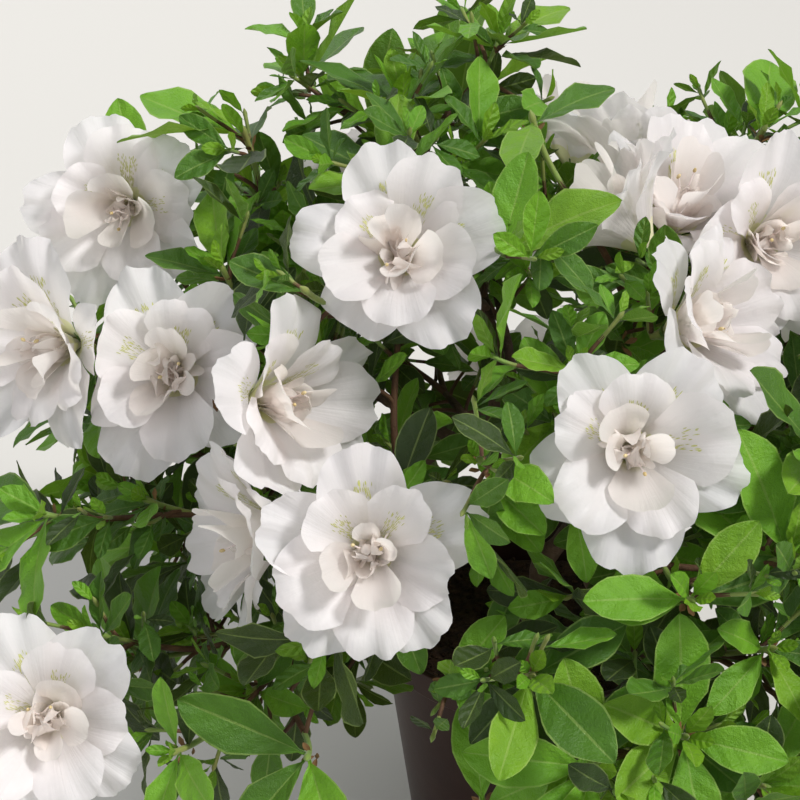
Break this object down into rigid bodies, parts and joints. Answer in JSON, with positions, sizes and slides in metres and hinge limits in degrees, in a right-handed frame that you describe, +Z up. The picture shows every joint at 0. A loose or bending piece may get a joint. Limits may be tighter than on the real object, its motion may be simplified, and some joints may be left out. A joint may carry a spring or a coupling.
{
  "type": "azalea shrub",
  "caption": "Potted azalea shrub: a round leafy crown of forking twigs with large full double blooms, on a short woody trunk in a tapered round pot with a rim band.",
  "frame": {"origin": "centre of the pot's flat underside", "axes": "+Z up, -Y towards the side with the most open blooms, +X to the right of that side"},
  "size_m": [0.3715, 0.3625, 0.3127],
  "materials": {
    "pot": "smooth, satin",
    "soil": "loose, matte",
    "bark": "rough bark",
    "foliage": "soft, matte"
  },
  "bodies": {
    "root": {"pot": "pot", "soil": "soil", "trunk": "bark", "bough_top_right": "bark", "bough_top_left": "bark", "bough_upper_front_left": "bark", "bough_upper_front": "bark", "bough_upper_right": "bark", "bough_upper_back_right": "bark", "bough_upper_back": "bark", "bough_upper_left": "bark", "bough_lower_front_left": "bark", "bough_lower_front": "bark", "bough_lower_right": "bark", "bough_lower_back_right": "bark", "bough_lower_back": "bark", "bough_lower_left": "bark", "foliage_top_right": "foliage", "foliage_top_left": "foliage", "foliage_upper_front_left": "foliage", "foliage_upper_front": "foliage", "foliage_upper_right": "foliage", "foliage_upper_back_right": "foliage", "foliage_upper_back": "foliage", "foliage_upper_left": "foliage", "foliage_lower_front_left": "foliage", "foliage_lower_front": "foliage", "foliage_lower_right": "foliage", "foliage_lower_back_right": "foliage", "foliage_lower_back": "foliage", "foliage_lower_left": "foliage"}
  },
  "joints": []
}
